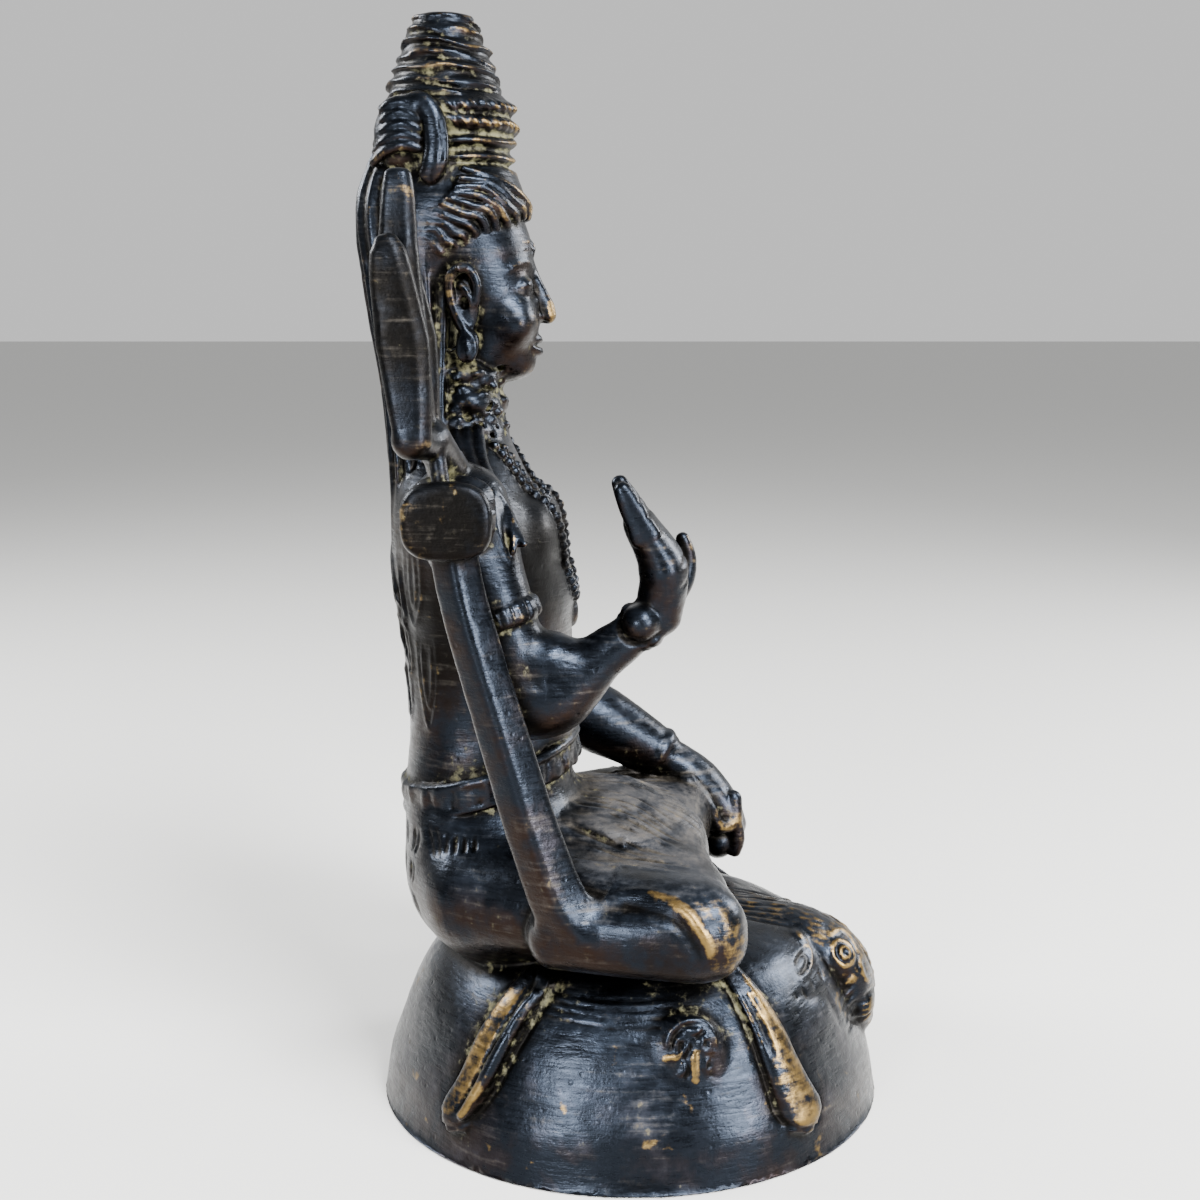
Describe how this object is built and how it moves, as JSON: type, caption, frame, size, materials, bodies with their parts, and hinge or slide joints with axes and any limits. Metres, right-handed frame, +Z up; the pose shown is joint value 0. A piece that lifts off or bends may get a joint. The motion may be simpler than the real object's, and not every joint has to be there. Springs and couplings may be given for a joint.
{
  "type": "shiva figure",
  "caption": "Small cast brass figure of a cross-legged deity on a domed rock with a tiger skin, a trident and a drum at its side and one hand raised",
  "frame": {"origin": "middle of the flat underside, on the surface that it stands on", "axes": "+Z up, the figure faces -Y, its right hand and its trident are on -X"},
  "size_m": [0.0718, 0.0731, 0.1506],
  "materials": {
    "cast_brass": "darkened cast brass with a satin blue-black patina, worn bright on the high points and green in the hollows"
  },
  "bodies": {
    "root": {"shiva_figure": "cast_brass"}
  },
  "joints": []
}
